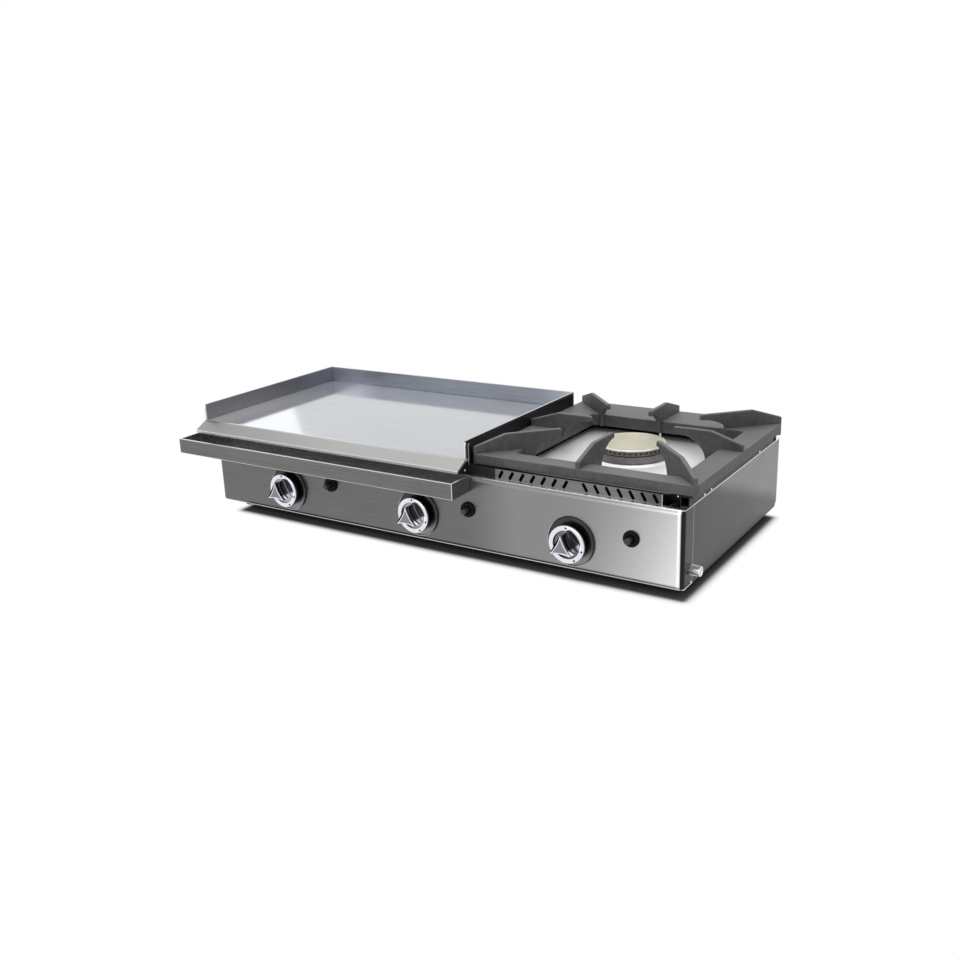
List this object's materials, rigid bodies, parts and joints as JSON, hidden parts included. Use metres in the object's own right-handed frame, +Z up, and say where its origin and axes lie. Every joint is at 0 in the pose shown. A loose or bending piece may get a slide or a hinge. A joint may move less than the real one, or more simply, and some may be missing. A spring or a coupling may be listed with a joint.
{
  "type": "countertop gas griddle with side burner",
  "caption": "Low stainless gas griddle with a flat plate, splash guards, drip gutter, side burner with an iron trivet, chrome tap knobs, spark buttons and a threaded gas inlet",
  "frame": {"origin": "on the ground, under the middle of the whole thing's bounding box", "axes": "+X to the right along the front, +Y from the front to the back, +Z up"},
  "size_m": [1.031, 0.503, 0.206],
  "materials": {
    "stainless": "fine horizontal brushing",
    "bright_tray": "bright, almost polished sheet",
    "griddle_steel": "ground plate with a faint blue cast",
    "tube_steel": "plain drawn steel",
    "zinc_pipe": "bright zinc plating",
    "black_enamel": "heat-proof satin black",
    "cast_iron": "matt enamelled casting, fine grain",
    "burner_alloy": "grey sand casting",
    "dark_burner": "dark oxidised casting",
    "burner_cap": "dull pressed brass with a bright rim",
    "brass": "machined brass",
    "knob_chrome": "polished chrome",
    "black_plastic": "fine satin moulding",
    "ceramic": "glazed white ceramic",
    "lead_sleeve": "silicone sleeve",
    "rubber": "matt moulded rubber"
  },
  "bodies": {
    "base": {"front_panel": "stainless", "left_side_panel": "stainless", "right_side_panel": "stainless", "rear_panel": "stainless", "base_plate": "stainless", "rubber_feet": "rubber", "griddle_plate": "griddle_steel", "left_guard": "griddle_steel", "rear_guard": "griddle_steel", "right_guard": "griddle_steel", "heat_shield": "black_enamel", "griddle_front_rail": "black_enamel", "firebox_left_wall": "black_enamel", "firebox_rear_wall": "black_enamel", "firebox_front_wall": "black_enamel", "divider_wall": "black_enamel", "rear_vent_cover": "stainless", "burner_support": "black_enamel", "slotted_strip": "stainless", "hob_tray": "bright_tray", "hob_tray_rail": "black_enamel", "hob_right_rail": "black_enamel", "hob_rear_rail": "black_enamel", "burner_base": "burner_alloy", "burner_ring": "burner_alloy", "griddle_burner_1": "tube_steel", "griddle_burner_2": "tube_steel", "injectors": "brass", "hob_electrode": "ceramic", "griddle_electrodes": "ceramic", "thermocouples": "brass", "ignition_leads": "lead_sleeve", "gas_manifold": "zinc_pipe", "inlet_locknut": "brass", "valve_body_1": "brass", "valve_body_2": "brass", "valve_body_3": "brass", "igniter_body_1": "black_plastic", "igniter_body_2": "black_plastic", "igniter_body_3": "black_plastic", "knob_bezels": "black_enamel", "fasteners": "zinc_pipe"},
    "tap_1": {"valve_plug_1": "tube_steel"},
    "knob_1": {"valve_stem_1": "tube_steel", "knob_1": "knob_chrome"},
    "button_1": {"igniter_button_1": "black_plastic"},
    "tap_2": {"valve_plug_2": "tube_steel"},
    "knob_2": {"valve_stem_2": "tube_steel", "knob_2": "knob_chrome"},
    "button_2": {"igniter_button_2": "black_plastic"},
    "tap_3": {"valve_plug_3": "tube_steel"},
    "knob_3": {"valve_stem_3": "tube_steel", "knob_3": "knob_chrome"},
    "button_3": {"igniter_button_3": "black_plastic"},
    "trivet": {"trivet_frame": "cast_iron", "trivet_fingers": "cast_iron"},
    "crown": {"burner_crown": "dark_burner"},
    "cap": {"burner_cap": "burner_cap"},
    "gutter": {"drip_gutter": "stainless"}
  },
  "joints": [
    {"name": "knob_1_turn", "type": "hinge", "parent": "base", "child": "tap_1", "pos_m": [-0.2905, -0.1965, 0.062], "axis": [0, -1, 0], "range_deg": [0, 180]},
    {"name": "knob_1_push", "type": "slide", "parent": "tap_1", "child": "knob_1", "axis": [0, 1, 0], "range_m": [0, 0.003], "stiffness_N_per_m": 1200, "springref_m": -0.004},
    {"name": "igniter_1_press", "type": "slide", "parent": "base", "child": "button_1", "axis": [0, 1, 0], "range_m": [0, 0.006], "stiffness_N_per_m": 900, "springref_m": -0.003},
    {"name": "knob_2_turn", "type": "hinge", "parent": "base", "child": "tap_2", "pos_m": [0.0095, -0.1965, 0.062], "axis": [0, -1, 0], "range_deg": [0, 180]},
    {"name": "knob_2_push", "type": "slide", "parent": "tap_2", "child": "knob_2", "axis": [0, 1, 0], "range_m": [0, 0.003], "stiffness_N_per_m": 1200, "springref_m": -0.004},
    {"name": "igniter_2_press", "type": "slide", "parent": "base", "child": "button_2", "axis": [0, 1, 0], "range_m": [0, 0.006], "stiffness_N_per_m": 900, "springref_m": -0.003},
    {"name": "knob_3_turn", "type": "hinge", "parent": "base", "child": "tap_3", "pos_m": [0.3095, -0.1965, 0.062], "axis": [0, -1, 0], "range_deg": [0, 180]},
    {"name": "knob_3_push", "type": "slide", "parent": "tap_3", "child": "knob_3", "axis": [0, 1, 0], "range_m": [0, 0.003], "stiffness_N_per_m": 1200, "springref_m": -0.004},
    {"name": "igniter_3_press", "type": "slide", "parent": "base", "child": "button_3", "axis": [0, 1, 0], "range_m": [0, 0.006], "stiffness_N_per_m": 900, "springref_m": -0.003},
    {"name": "trivet_lift", "type": "slide", "parent": "base", "child": "trivet", "axis": [0, 0, 1], "range_m": [0, 0.12]},
    {"name": "crown_lift", "type": "slide", "parent": "base", "child": "crown", "axis": [0, 0, 1], "range_m": [0, 0.05]},
    {"name": "cap_lift", "type": "slide", "parent": "crown", "child": "cap", "axis": [0, 0, 1], "range_m": [0, 0.04]},
    {"name": "gutter_pull", "type": "slide", "parent": "base", "child": "gutter", "axis": [0, -1, 0], "range_m": [0, 0.08]}
  ]
}
